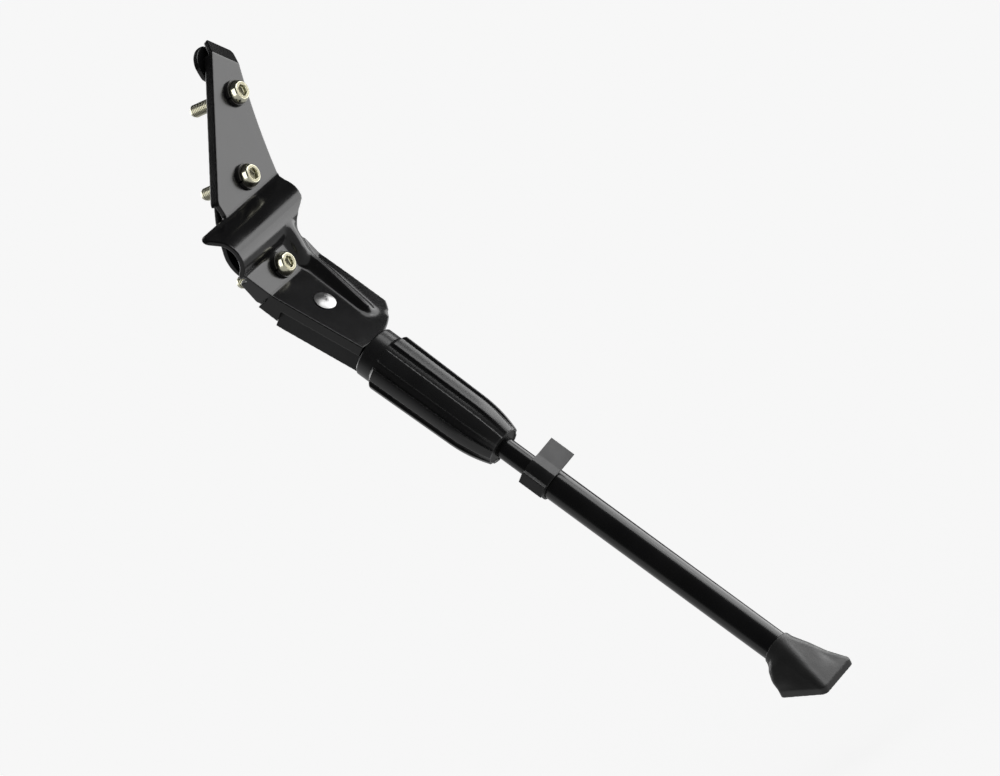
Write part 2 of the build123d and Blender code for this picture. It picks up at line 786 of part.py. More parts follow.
# Foot: round collar flaring to a square rim, sole level with the ground
sole_dir = leg_side * sole_normal[0] + out * sole_normal[1] + leg_dir * sole_normal[2]
sole_plane = Plane(origin=on_leg(0, 0, foot_sole_u), x_dir=leg_side - sole_dir * sole_normal[0], z_dir=sole_dir)
with BuildPart() as foot:
    with BuildSketch(leg.offset(foot_top_u)):
        RectangleRounded(foot_collar, foot_collar, foot_collar_corner)
    with BuildSketch(leg.offset(foot_waist_u)):
        RectangleRounded(foot_waist, foot_waist, foot_collar_corner)
    with BuildSketch(sole_plane):
        RectangleRounded(foot_width, foot_depth, foot_corner)
    loft(ruled=True)
    with BuildSketch(sole_plane):
        RectangleRounded(foot_width, foot_depth, foot_corner)
    extrude(amount=foot_pad)
    with BuildSketch(leg.offset(foot_top_u - 1.0)):
        Circle(tube_radius + pin_seat_fit)
    extrude(amount=tube_end_u - foot_top_u + 1.0, mode=Mode.SUBTRACT)

foot.part.label = "foot"
export_step(foot.part, "parts/foot.step")
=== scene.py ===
import json
from math import exp, pi

import bmesh
import bpy
from mathutils import Matrix, Vector


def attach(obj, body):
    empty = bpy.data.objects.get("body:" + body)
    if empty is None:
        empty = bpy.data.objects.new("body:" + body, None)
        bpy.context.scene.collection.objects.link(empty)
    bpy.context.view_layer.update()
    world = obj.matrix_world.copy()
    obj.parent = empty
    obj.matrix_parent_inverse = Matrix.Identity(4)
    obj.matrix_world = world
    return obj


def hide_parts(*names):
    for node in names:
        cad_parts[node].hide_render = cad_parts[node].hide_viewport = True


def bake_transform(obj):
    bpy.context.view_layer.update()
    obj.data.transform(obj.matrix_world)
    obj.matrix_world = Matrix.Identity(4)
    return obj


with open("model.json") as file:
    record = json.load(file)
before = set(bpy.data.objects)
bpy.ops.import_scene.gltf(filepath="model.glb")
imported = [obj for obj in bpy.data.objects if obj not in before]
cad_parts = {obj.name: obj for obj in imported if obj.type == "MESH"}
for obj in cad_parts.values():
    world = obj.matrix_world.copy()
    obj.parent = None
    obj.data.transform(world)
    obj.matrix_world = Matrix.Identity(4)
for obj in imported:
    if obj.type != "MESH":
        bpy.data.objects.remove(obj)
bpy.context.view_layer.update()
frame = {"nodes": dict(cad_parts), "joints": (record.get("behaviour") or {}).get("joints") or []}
nodes = frame["nodes"]
scene = bpy.context.scene
mm = 0.001
print("frame loaded,", len(nodes), "nodes")

# Axes of the splayed leg, taken from its joints
joints = {joint["name"]: joint for joint in frame["joints"]}
pivotPoint = Vector(joints["leg_swing"]["pos_m"])
pivotOut = Vector(joints["leg_swing"]["axis"]).normalized()
legDown = Vector(joints["leg_extend"]["axis"]).normalized()
legSide = pivotOut.cross(legDown).normalized()

# Long lens, rolled with the product as in the photograph
view = {
    "right": (0.500, -0.690, -0.521),
    "up": (0.453, -0.304, 0.836),
    "centre": (0.0236, -0.0540, -0.1124),
    "widthM": 0.4399,
    "distance": 14.0,
    "sensor": 36.0,
}


def placeCamera():
    right = Vector(view["right"]).normalized()
    up = Vector(view["up"])
    up = (up - right * up.dot(right)).normalized()
    toward = right.cross(up)
    lens = bpy.data.cameras.new("camera")
    lens.sensor_width = view["sensor"]
    lens.lens = view["sensor"] * view["distance"] / view["widthM"]
    lens.clip_end = 60.0
    camera = bpy.data.objects.new("camera", lens)
    scene.collection.objects.link(camera)
    turn = Matrix((right, up, toward)).transposed().to_4x4()
    camera.matrix_world = Matrix.Translation(Vector(view["centre"]) + toward * view["distance"]) @ turn
    scene.camera = camera


placeCamera()
print("camera set")


# Finishes

def addNoise(tree, vector, scale, detail, seed=0.0):
    noise = tree.nodes.new("ShaderNodeTexNoise")
    noise.noise_dimensions = "4D"
    noise.inputs["W"].default_value = seed
    noise.inputs["Scale"].default_value = scale
    noise.inputs["Detail"].default_value = detail
    tree.links.new(vector, noise.inputs["Vector"])
    return noise.outputs["Fac"]


def addRange(tree, value, fromLow, fromHigh, toLow, toHigh):
    span = tree.nodes.new("ShaderNodeMapRange")
    limits = {"From Min": fromLow, "From Max": fromHigh, "To Min": toLow, "To Max": toHigh}
    for socket, number in limits.items():
        span.inputs[socket].default_value = number
    tree.links.new(value, span.inputs["Value"])
    return span.outputs["Result"]


def addMath(tree, kind, first, second):
    sums = tree.nodes.new("ShaderNodeMath")
    sums.operation = kind
    tree.links.new(first, sums.inputs[0])
    if isinstance(second, float):
        sums.inputs[1].default_value = second
    else:
        tree.links.new(second, sums.inputs[1])
    return sums.outputs[0]


def addMix(tree, factor, first, second):
    mix = tree.nodes.new("ShaderNodeMix")
    mix.data_type = "RGBA"
    tree.links.new(factor, mix.inputs["Factor"])
    for socket, colour in (("A", first), ("B", second)):
        target = [s for s in mix.inputs if s.name == socket and s.type == "RGBA"][0]
        if isinstance(colour, tuple):
            target.default_value = (*colour, 1)
        else:
            tree.links.new(colour, target)
    return [s for s in mix.outputs if s.type == "RGBA"][0]


def drawnLines(tree, vector, along, ratio):
    # stretches a pattern along the leg, as drawing and rolling leave it
    turn = tree.nodes.new("ShaderNodeMapping")
    turn.inputs["Rotation"].default_value = along.rotation_difference(Vector((0, 0, 1))).to_euler()
    tree.links.new(vector, turn.inputs["Vector"])
    stretch = tree.nodes.new("ShaderNodeVectorMath")
    stretch.operation = "MULTIPLY"
    stretch.inputs[1].default_value = (1, 1, ratio)
    tree.links.new(turn.outputs["Vector"], stretch.inputs[0])
    return stretch.outputs["Vector"]


# shared by every finish: seeds of the noise and the bands that turn it into patches
pattern = {
    "mottleSeed": 1.3, "mottleBand": (0.35, 0.65), "mottleDetail": 4.0,
    "speckSeed": 4.1, "speckBand": (0.66, 0.74), "speckDetail": 2.0,
    "roughSeed": 2.7, "roughBand": (0.3, 0.7), "roughDetail": 5.0,
    "wornSeed": 6.2, "wornBand": (0.4, 0.62), "wornDetail": 5.0, "wornScale": 160.0, "wornLeast": 0.15,
    "waveSeed": 8.4, "grainSeed": 9.6, "reliefDetail": 3.0,
}


def makeFinish(name, look):
    finish = bpy.data.materials.new(name)
    finish.use_nodes = True
    tree = finish.node_tree
    shader = tree.nodes["Principled BSDF"]
    shader.inputs["Metallic"].default_value = look.get("metallic", 0.0)
    shader.inputs["Specular IOR Level"].default_value = look.get("specular", 0.5)
    shader.inputs["Sheen Weight"].default_value = look.get("sheen", 0.0)
    place = tree.nodes.new("ShaderNodeTexCoord").outputs["Object"]
    grainPlace = drawnLines(tree, place, legDown, look["drawn"]) if "drawn" in look else place

    # colour: slow mottle, then fine specks, then thin paint or polish on the edges; on the thumb tab this
    # edge mix is a painted dark outline
    mottle = addNoise(tree, place, look["mottleScale"], pattern["mottleDetail"], pattern["mottleSeed"])
    mottle = addRange(tree, mottle, *pattern["mottleBand"], 0.0, 1.0)
    colour = addMix(tree, mottle, look["base"], look["second"])
    if "speck" in look:
        specks = addNoise(tree, place, look["speckScale"], pattern["speckDetail"], pattern["speckSeed"])
        specks = addRange(tree, specks, *pattern["speckBand"], 0.0, look["speckShare"])
        colour = addMix(tree, specks, colour, look["speck"])
    rough = addNoise(tree, grainPlace, look["roughScale"], pattern["roughDetail"], pattern["roughSeed"])
    rough = addRange(tree, rough, *pattern["roughBand"], *look["rough"])
    if "edge" in look:
        bend = tree.nodes.new("ShaderNodeNewGeometry").outputs["Pointiness"]
        rim = addRange(tree, bend, look["edgeFrom"], look["edgeTo"], 0.0, 1.0)
        worn = addNoise(tree, place, pattern["wornScale"], pattern["wornDetail"], pattern["wornSeed"])
        worn = addRange(tree, worn, *pattern["wornBand"], pattern["wornLeast"], 1.0)
        rim = addMath(tree, "MULTIPLY", rim, worn)
        colour = addMix(tree, addMath(tree, "MULTIPLY", rim, look["edgeShare"]), colour, look["edge"])
        rough = addMath(tree, "ADD", rough, addMath(tree, "MULTIPLY", rim, look["edgeRough"]))
    tree.links.new(colour, shader.inputs["Base Color"])
    tree.links.new(rough, shader.inputs["Roughness"])

    # surface: a slow wave, then the fine grain
    normal = None
    for scale, depth, vector, seed in (
        (look["waveScale"], look["waveDepth"], place, pattern["waveSeed"]),
        (look["grainScale"], look["grainDepth"], grainPlace, pattern["grainSeed"]),
    ):
        bump = tree.nodes.new("ShaderNodeBump")
        bump.inputs["Strength"].default_value = 1.0
        bump.inputs["Distance"].default_value = depth * mm
        tree.links.new(addNoise(tree, vector, scale, pattern["reliefDetail"], seed), bump.inputs["Height"])
        if normal:
            tree.links.new(normal, bump.inputs["Normal"])
        normal = bump.outputs["Normal"]
    tree.links.new(normal, shader.inputs["Normal"])
    return finish


glossEnamel = {
    "base": (0.0045, 0.0045, 0.0048), "second": (0.0070, 0.0070, 0.0074), "mottleScale": 60.0,
    "speck": (0.05, 0.05, 0.05), "speckScale": 1500.0, "speckShare": 0.25,
    "rough": (0.15, 0.24), "roughScale": 45.0, "specular": 0.38,
    "edge": (0.030, 0.030, 0.031), "edgeFrom": 0.55, "edgeTo": 0.64, "edgeShare": 0.6, "edgeRough": 0.08,
    "waveScale": 120.0, "waveDepth": 0.035, "grainScale": 900.0, "grainDepth": 0.006,
}
satinEnamel = {
    "base": (0.012, 0.012, 0.0125), "second": (0.017, 0.017, 0.018), "mottleScale": 70.0,
    "rough": (0.40, 0.52), "roughScale": 60.0, "specular": 0.30,
    "edge": (0.045, 0.045, 0.046), "edgeFrom": 0.55, "edgeTo": 0.64, "edgeShare": 0.5, "edgeRough": 0.05,
    "waveScale": 140.0, "waveDepth": 0.03, "grainScale": 1400.0, "grainDepth": 0.02,
}
tubeEnamel = {
    "base": (0.0050, 0.0050, 0.0053), "second": (0.0080, 0.0080, 0.0084), "mottleScale": 50.0,
    "speck": (0.05, 0.05, 0.05), "speckScale": 1300.0, "speckShare": 0.2,
    "rough": (0.14, 0.22), "roughScale": 90.0, "specular": 0.45, "drawn": 0.05,
    "waveScale": 90.0, "waveDepth": 0.02, "grainScale": 700.0, "grainDepth": 0.006,
}
zincPlate = {
    "base": (0.56, 0.54, 0.42), "second": (0.47, 0.47, 0.38), "mottleScale": 260.0, "metallic": 1.0,
    "speck": (0.26, 0.24, 0.16), "speckScale": 1800.0, "speckShare": 0.5,
    "rough": (0.12, 0.24), "roughScale": 320.0,
    "waveScale": 420.0, "waveDepth": 0.02, "grainScale": 2400.0, "grainDepth": 0.006,
}
headFace = {
    "base": (0.18, 0.17, 0.12), "second": (0.15, 0.14, 0.10), "mottleScale": 320.0, "metallic": 1.0,
    "speck": (0.16, 0.14, 0.09), "speckScale": 1800.0, "speckShare": 0.5,
    "rough": (0.24, 0.40), "roughScale": 420.0,
    "waveScale": 420.0, "waveDepth": 0.02, "grainScale": 2400.0, "grainDepth": 0.006,
}
washerBlack = {
    "base": (0.030, 0.030, 0.031), "second": (0.055, 0.053, 0.050), "mottleScale": 300.0, "metallic": 0.6,
    "rough": (0.34, 0.50), "roughScale": 400.0,
    "waveScale": 500.0, "waveDepth": 0.02, "grainScale": 2600.0, "grainDepth": 0.01,
}
rivetSteel = {
    "base": (0.46, 0.46, 0.455), "second": (0.38, 0.38, 0.38), "mottleScale": 240.0, "metallic": 1.0,
    "speck": (0.20, 0.20, 0.20), "speckScale": 1500.0, "speckShare": 0.35,
    "rough": (0.26, 0.42), "roughScale": 280.0,
    "waveScale": 300.0, "waveDepth": 0.05, "grainScale": 2200.0, "grainDepth": 0.006,
}
oiledSteel = {
    "base": (0.24, 0.24, 0.25), "second": (0.15, 0.15, 0.16), "mottleScale": 200.0, "metallic": 1.0,
    "rough": (0.22, 0.36), "roughScale": 500.0,
    "waveScale": 400.0, "waveDepth": 0.01, "grainScale": 2500.0, "grainDepth": 0.006,
}
sleeveMoulding = {
    "base": (0.010, 0.010, 0.0105), "second": (0.014, 0.014, 0.0145), "mottleScale": 80.0,
    "rough": (0.24, 0.33), "roughScale": 120.0, "specular": 0.50, "drawn": 0.25,
    "edge": (0.030, 0.030, 0.031), "edgeFrom": 0.55, "edgeTo": 0.64, "edgeShare": 0.45, "edgeRough": 0.08,
    "waveScale": 110.0, "waveDepth": 0.03, "grainScale": 2600.0, "grainDepth": 0.02,
}
bushMoulding = {
    "base": (0.008, 0.008, 0.008), "second": (0.012, 0.012, 0.012), "mottleScale": 90.0,
    "rough": (0.42, 0.55), "roughScale": 150.0, "specular": 0.35,
    "waveScale": 150.0, "waveDepth": 0.02, "grainScale": 2400.0, "grainDepth": 0.02,
}
clipMoulding = {
    "base": (0.009, 0.009, 0.0095), "second": (0.013, 0.013, 0.0135), "mottleScale": 120.0,
    "rough": (0.34, 0.46), "roughScale": 180.0, "specular": 0.45,
    "edge": (0.035, 0.035, 0.035), "edgeFrom": 0.53, "edgeTo": 0.62, "edgeShare": 0.4, "edgeRough": 0.05,
    "waveScale": 160.0, "waveDepth": 0.02, "grainScale": 2800.0, "grainDepth": 0.02,
}
# thumb tab: the clip's own plastic made lighter as painted light, with painted shade darkening its edges
thumbTabPaintedLight = {
    "base": (0.200, 0.200, 0.202), "second": (0.235, 0.235, 0.237), "mottleScale": 140.0,
    "rough": (0.46, 0.58), "roughScale": 200.0, "specular": 0.45,
    "edge": (0.05, 0.05, 0.05), "edgeFrom": 0.53, "edgeTo": 0.60, "edgeShare": 0.9, "edgeRough": 0.05,
    "waveScale": 160.0, "waveDepth": 0.02, "grainScale": 2800.0, "grainDepth": 0.02,
}
footRubber = {
    "base": (0.013, 0.013, 0.013), "second": (0.019, 0.019, 0.019), "mottleScale": 110.0,
    "speck": (0.05, 0.05, 0.048), "speckScale": 1200.0, "speckShare": 0.25,
    "rough": (0.34, 0.46), "roughScale": 140.0, "specular": 0.50, "sheen": 0.10,
    "edge": (0.045, 0.045, 0.044), "edgeFrom": 0.53, "edgeTo": 0.62, "edgeShare": 0.5, "edgeRough": 0.06,
    "waveScale": 130.0, "waveDepth": 0.05, "grainScale": 1900.0, "grainDepth": 0.05,
}

looks = {
    "glossEnamel": glossEnamel, "satinEnamel": satinEnamel, "tubeEnamel": tubeEnamel,
    "zincPlate": zincPlate, "headFace": headFace, "washerBlack": washerBlack,
    "rivetSteel": rivetSteel, "oiledSteel": oiledSteel,
    "sleeveMoulding": sleeveMoulding, "bushMoulding": bushMoulding,
    "clipMoulding": clipMoulding, "thumbTabPaintedLight": thumbTabPaintedLight, "footRubber": footRubber,
}
finishes = {name: makeFinish(name, look) for name, look in looks.items()}
print("finishes made,", len(finishes))


# Plain CAD nodes that only take a finish

nodeFinish = {
    "lock_washers": "washerBlack",
    "pivot_rivet": "rivetSteel",
    "rivet_washer": "zincPlate",
    "leg_rod": "tubeEnamel",
    "leg_tube": "tubeEnamel",
    "spring_seat": "zincPlate",
    "retaining_ring": "oiledSteel",
    "sleeve_bush": "bushMoulding",
}
for nodeName, finishName in nodeFinish.items():
    for materialSlot in nodes[nodeName].material_slots:
        materialSlot.material = finishes[finishName]


# Pressed, moulded and rubber pieces: the node's own form with its edges rolled over

def evaluatedMesh(thing):
    graph = bpy.context.evaluated_depsgraph_get()
    return bpy.data.meshes.new_from_object(thing.evaluated_get(graph))


def finishPiece(name, mesh, body, nodeName, finishName):
    piece = bpy.data.objects.new(name, mesh)
    scene.collection.objects.link(piece)
    mesh.materials.clear()
    mesh.materials.append(finishes[finishName])
    mesh.polygons.foreach_set("use_smooth", [True] * len(mesh.polygons))
    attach(piece, body)
    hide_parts(nodeName)
    print(name, len(mesh.polygons), "faces")
    return piece


def rollEdges(nodeName, recipe):
    blank = bpy.data.objects.new(nodeName + "Blank", nodes[nodeName].data.copy())
    scene.collection.objects.link(blank)
    bm = bmesh.new()
    bm.from_mesh(blank.data)
    bmesh.ops.remove_doubles(bm, verts=bm.verts, dist=1e-6)
    bm.to_mesh(blank.data)
    bm.free()
    voxels = blank.modifiers.new("voxels", "REMESH")
    voxels.mode = "VOXEL"
    voxels.voxel_size = recipe["voxel"] * mm
    rolled = blank.modifiers.new("rolled", "SMOOTH")
    rolled.factor = 0.5
    rolled.iterations = recipe["passes"]
    mesh = evaluatedMesh(blank)
    bpy.data.objects.remove(blank)
    return mesh


def easeRegion(mesh, weightAt, passes):
    # softer bends where the sheet was drawn deep
    blank = bpy.data.objects.new("easeBlank", mesh)
    scene.collection.objects.link(blank)
    group = blank.vertex_groups.new(name="drawn")
    for vert in mesh.vertices:
        weight = weightAt(vert.co)
        if weight > 0.01:
            group.add([vert.index], weight, "REPLACE")
    eased = blank.modifiers.new("eased", "SMOOTH")
    eased.factor = 0.5
    eased.iterations = passes
    eased.vertex_group = "drawn"
    result = evaluatedMesh(blank)
    bpy.data.objects.remove(blank)
    return result


def thinOut(mesh, most):
    # flats need few triangles once the bends are in
    blank = bpy.data.objects.new("thinBlank", mesh)
    scene.collection.objects.link(blank)
    fewer = blank.modifiers.new("fewer", "DECIMATE")
    fewer.ratio = min(most / (2 * len(mesh.polygons)), 1.0)
    result = evaluatedMesh(blank)
    bpy.data.objects.remove(blank)
    return result


def ramp(value, start, end):
    t = min(max((value - start) / (end - start), 0.0), 1.0)
    return t * t * (3 - 2 * t)


def offLine(co, start, end):
    run = (end - start).normalized()
    arm = co - start
    return (arm - run * arm.dot(run)).length / mm


def onFloor(side, down):
    return pivotPoint + (legSide * side + legDown * down + pivotOut * frontPress["floorOut"]) * mm


frontPress = {
    "voxel": 0.26, "passes": 12, "most": 180000, "sheet": 2.5, "floorOut": 7.1,
    "ridgeHigh": 4.2, "ridgeSide": 12.2, "ridgeLow": 14.4, "ridgeLean": 0.125,
    "ridgeInner": 2.2, "ridgeOuter": 2.0, "ridgeWiden": 0.055, "ridgeEnd": (13.0, 20.0),
    "drawnFrom": (5.0, 6.5), "drawnTo": (18.5, 20.5), "drawnTop": (-24.0, -15.0),
    "drawnLow": (21.0, 24.0), "drawnUnder": (1.0, 0.5),
    "easeFrom": (4.5, 7.0), "easeTo": (19.0, 20.5), "easeTop": (3.0, 6.0), "ridgePasses": 30,
    "lipFrom": (42.3, 2.0, 74.7), "lipTo": (53.5, 2.0, 62.3), "lipReach": 3.4, "lipFade": (0.6, 1.4),
    "lipPasses": 220,
    "skirtFrom": (-18.8, -6.0, -23.6), "skirtTo": (-10.3, 29.4), "skirtReach": 2.8, "skirtFade": (0.5, 1.5),
    "skirtPasses": 160,
}


def drawRidge(mesh):
    # one drawn ridge, narrowing and leaning in towards its low end
    facing = [vert.normal.dot(pivotOut) for vert in mesh.vertices]
    underside = frontPress["floorOut"] - frontPress["sheet"]
    for vert in mesh.vertices:
        arm = vert.co - pivotPoint
        side, down, out = (arm.dot(axis) / mm for axis in (legSide, legDown, pivotOut))
        share = ramp(side, *frontPress["drawnFrom"]) * (1 - ramp(side, *frontPress["drawnTo"]))
        share *= 1 - ramp(vert.co.z / mm, *frontPress["drawnTop"])
        share *= 1 - ramp(down, *frontPress["drawnLow"])
        share *= ramp(out, *(underside - under for under in frontPress["drawnUnder"]))
        if share > 0:
            above = max(frontPress["ridgeLow"] - down, 0.0)
            off = side - frontPress["ridgeSide"] - frontPress["ridgeLean"] * above
            inner = frontPress["ridgeInner"] + frontPress["ridgeWiden"] * above
            spread = inner if off < 0 else frontPress["ridgeOuter"]
            rise = frontPress["ridgeHigh"] * exp(-(off / spread) ** 2)
            rise *= 1 - ramp(down, *frontPress["ridgeEnd"])
            skin = frontPress["floorOut"] if facing[vert.index] > 0 else underside
            vert.co += pivotOut * (skin + rise - out) * share * mm


def ridgeWeight(co):
    side, down = (co - pivotPoint).dot(legSide) / mm, (co - pivotPoint).dot(legDown) / mm
    inRidge = ramp(side, *frontPress["easeFrom"]) * (1 - ramp(side, *frontPress["easeTo"]))
    return inRidge * ramp(-co.z / mm, *frontPress["easeTop"]) * (1 - ramp(down, *frontPress["drawnLow"]))


def lipWeight(co):
    off = offLine(co, Vector(frontPress["lipFrom"]) * mm, Vector(frontPress["lipTo"]) * mm)
    return 1 - ramp(off, *(frontPress["lipReach"] * fade for fade in frontPress["lipFade"]))


def skirtWeight(co):
    off = offLine(co, Vector(frontPress["skirtFrom"]) * mm, onFloor(*frontPress["skirtTo"]))
    return 1 - ramp(off, *(frontPress["skirtReach"] * fade for fade in frontPress["skirtFade"]))


frontMesh = rollEdges("front_plate", frontPress)
drawRidge(frontMesh)
frontMesh = easeRegion(frontMesh, ridgeWeight, frontPress["ridgePasses"])
frontMesh = easeRegion(frontMesh, lipWeight, frontPress["lipPasses"])
frontMesh = easeRegion(frontMesh, skirtWeight, frontPress["skirtPasses"])
frontMesh = thinOut(frontMesh, frontPress["most"])
finishPiece("frontPressing", frontMesh, "bracket", "front_plate", "glossEnamel")

rearPress = {"voxel": 0.28, "passes": 8, "most": 120000}
rearMesh = thinOut(rollEdges("rear_plate", rearPress), rearPress["most"])
finishPiece("rearPressing", rearMesh, "clamp_jaw", "rear_plate", "glossEnamel")

coverPress = {"voxel": 0.26, "passes": 6, "most": 80000, "top": (-10.5, -8.0), "tuck": 1.0}
coverMesh = rollEdges("pivot_cover", coverPress)
for vert in coverMesh.vertices:
    # its top end reaches up against the skirt of the front plate
    down = (vert.co - pivotPoint).dot(legDown) / mm
    vert.co -= legDown * coverPress["tuck"] * (1 - ramp(down, *coverPress["top"])) * mm
coverMesh = thinOut(coverMesh, coverPress["most"])
finishPiece("pivotCover", coverMesh, "bracket", "pivot_cover", "satinEnamel")

sleeveMould = {"voxel": 0.28, "passes": 8, "most": 180000}
sleeveMesh = thinOut(rollEdges("grip_sleeve", sleeveMould), sleeveMould["most"])
finishPiece("gripSleeve", sleeveMesh, "sleeve", "grip_sleeve", "sleeveMoulding")

clipMould = {"voxel": 0.18, "passes": 5, "most": 80000, "paintedTabOut": 7.2}
clipMesh = thinOut(rollEdges("length_clip", clipMould), clipMould["most"])
finishPiece("lengthClip", clipMesh, "lower_leg", "length_clip", "clipMoulding")
# faces out on the thumb tab take the lighter copy of the clip plastic: painted light
clipMesh.materials.append(finishes["thumbTabPaintedLight"])
for face in clipMesh.polygons:
    if (face.center - pivotPoint).dot(pivotOut) > clipMould["paintedTabOut"] * mm:
        face.material_index = 1

footMould = {
    "voxel": 0.28, "passes": 20, "most": 90000,
    "top": 259.6, "sole": 280.9, "soleSide": -0.30, "soleOut": 1.10, "keep": 7.4,
    "frontSide": 0.66, "frontOut": 0.745,
    "full": 2.0, "fullFrom": (0.0, 0.3), "fullTo": (0.45, 1.05),
    "hollow": 0.6, "hollowAt": 0.70, "hollowSpan": 0.3, "hollowFrom": (8.5, 11.0),
}


def shapeFlare(mesh):
    # fuller under the collar than a straight flare, then drawn in above the rim
    front = -(legSide * footMould["frontSide"] + pivotOut * footMould["frontOut"])
    for vert in mesh.vertices:
        arm = vert.co - pivotPoint
        down = arm.dot(legDown)
        across = arm - legDown * down
        side, out = across.dot(legSide) / mm, across.dot(pivotOut) / mm
        sole = footMould["sole"] + footMould["soleSide"] * side + footMould["soleOut"] * out
        t = (down / mm - footMould["top"]) / (sole - footMould["top"])
        if 0 < t < 1 and across.length > footMould["keep"] * mm:
            aim = across.normalized().dot(front)
            swell = ramp(t, *footMould["fullFrom"]) * (1 - ramp(t, *footMould["fullTo"]))
            give = footMould["full"] * max(aim, 0) ** 2 * swell
            drawn = max(1 - abs(t - footMould["hollowAt"]) / footMould["hollowSpan"], 0) * max(-aim, 0)
            give -= footMould["hollow"] * drawn * ramp(across.length / mm, *footMould["hollowFrom"])
            vert.co += across.normalized() * give * mm


footMesh = rollEdges("foot", footMould)
shapeFlare(footMesh)
footMesh = thinOut(footMesh, footMould["most"])
finishPiece("rubberFoot", footMesh, "lower_leg", "foot", "footRubber")

# Detent spring: its low end stands on the seat, its top end is pushed down by the sleeve; here the node's
# wire is only copied as it stands and does not follow the sleeve
springWire = evaluatedMesh(nodes["detent_spring"])
detentSpring = bpy.data.objects.new("detentSpring", springWire)
scene.collection.objects.link(detentSpring)
springWire.materials.clear()
springWire.materials.append(finishes["oiledSteel"])
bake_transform(detentSpring)
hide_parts("detent_spring")


# Clamp bolts: turned button heads with a hexagon socket and a rolled M6 thread

bolt = {
    "seats": ((40.7, 0.4, 53.6), (17.8, 0.4, 22.1), (-1.9, -7.6, -16.5)),
    "head": (
        (3.25, -3.3), (3.85, -3.3), (4.2, -3.18), (4.6, -2.75),
        (4.95, -2.24), (5.3, -1.5), (5.5, -0.9), (5.5, 0.0),
    ),
    "shank": ((5.5, 0.0), (3.0, 0.0), (3.0, 2.6), (2.5, 3.1), (2.5, 28.0), (1.9, 28.8), (0.0, 28.8)),
    "flats": 5.0,
    "socketDepth": 2.1,
    "drillPoint": 0.6,
    "pitch": 1.0,
    "threadFrom": 3.0,
    "threadTurns": 24,
    "rootRadius": 2.45,
    "crestRadius": 2.98,
    "crestHalf": 0.07,
    "around": 48,
    "threadSteps": 28,
    "lipRound": 0.18,
    "lipAngle": 0.9,
    "lipSegments": 2,
    "firstTurn": 0.2,
    "turnEach": 0.5,
    "faceFrom": 0.97,
}


def turnProfile(bm, points, steps):
    verts = [bm.verts.new((radius * mm, height * mm, 0)) for radius, height in points]
    edges = [bm.edges.new(pair) for pair in zip(verts, verts[1:])]
    bmesh.ops.spin(bm, geom=verts + edges, cent=(0, 0, 0), axis=(0, 1, 0), angle=2 * pi, steps=steps,
                   use_merge=True)


def openEdges(bm, verts):
    return [e for e in bm.edges if e.is_boundary and all(v in verts for v in e.verts)]


def boltMesh():
    bm = bmesh.new()
    around = bolt["around"]
    turnProfile(bm, bolt["head"], around)
    rimRadius = bolt["head"][0][0] * mm
    rimVerts = {v for v in bm.verts if abs(Vector((v.co.x, v.co.z)).length - rimRadius) < 1e-6}
    rim = openEdges(bm, rimVerts)

    # hexagon socket: ring bridged to the head, then walls and drill point
    corner = bolt["flats"] / 3 ** 0.5 * mm
    top = bolt["head"][0][1] * mm
    lay = Matrix.Translation((0, top, 0)) @ Matrix.Rotation(pi / 2, 4, "X")
    ring = bmesh.ops.create_circle(bm, segments=6, radius=corner, matrix=lay)["verts"]
    sides = list({e for v in ring for e in v.link_edges})
    split = bmesh.ops.subdivide_edges(bm, edges=sides, cuts=around // 6 - 1)
    hexEdges = list({g for g in split["geom"] + sides if isinstance(g, bmesh.types.BMEdge)})
    bmesh.ops.bridge_loops(bm, edges=rim + hexEdges)
    wall = bmesh.ops.extrude_edge_only(bm, edges=hexEdges)["geom"]
    wallVerts = [g for g in wall if isinstance(g, bmesh.types.BMVert)]
    bmesh.ops.translate(bm, verts=wallVerts, vec=(0, bolt["socketDepth"] * mm, 0))
    point = bmesh.ops.extrude_edge_only(bm, edges=openEdges(bm, wallVerts))["geom"]
    pointVerts = [g for g in point if isinstance(g, bmesh.types.BMVert)]
    bmesh.ops.scale(bm, verts=pointVerts, vec=(0.02, 1, 0.02))
    bmesh.ops.translate(bm, verts=pointVerts, vec=(0, bolt["drillPoint"] * mm, 0))
    bmesh.ops.contextual_create(bm, geom=openEdges(bm, pointVerts))

    turnProfile(bm, bolt["shank"], around)
    bmesh.ops.remove_doubles(bm, verts=bm.verts, dist=2e-6)
    bmesh.ops.recalc_face_normals(bm, faces=bm.faces)
    lips = [e for e in bm.edges if len(e.link_faces) == 2 and e.calc_face_angle() > bolt["lipAngle"]]
    bmesh.ops.bevel(bm, geom=lips, offset=bolt["lipRound"] * mm, affect="EDGES",
                    segments=bolt["lipSegments"], profile=0.5, material=-1)

    # thread: one closed ridge wound round the core
    half = bolt["pitch"] / 2
    root, crest, flat = bolt["rootRadius"], bolt["crestRadius"], bolt["crestHalf"]
    section = ((root, -half), (crest, -flat), (crest, flat), (root, half))
    start = bolt["threadFrom"] + half
    ridge = [bm.verts.new((radius * mm, (start + height) * mm, 0)) for radius, height in section]
    ridgeEdges = [bm.edges.new((ridge[i], ridge[i - 1])) for i in range(4)]
    steps = bolt["threadSteps"] * bolt["threadTurns"]
    climb = Vector((0, bolt["pitch"] / bolt["threadSteps"] * mm, 0))
    bmesh.ops.spin(bm, geom=ridge + ridgeEdges, cent=(0, 0, 0), axis=(0, 1, 0), dvec=climb,
                   angle=2 * pi * bolt["threadTurns"], steps=steps)
    bmesh.ops.holes_fill(bm, edges=[e for e in bm.edges if e.is_boundary], sides=4)
    bmesh.ops.recalc_face_normals(bm, faces=bm.faces)
    one = bpy.data.meshes.new("oneBolt")
    bm.to_mesh(one)
    bm.free()
    return one


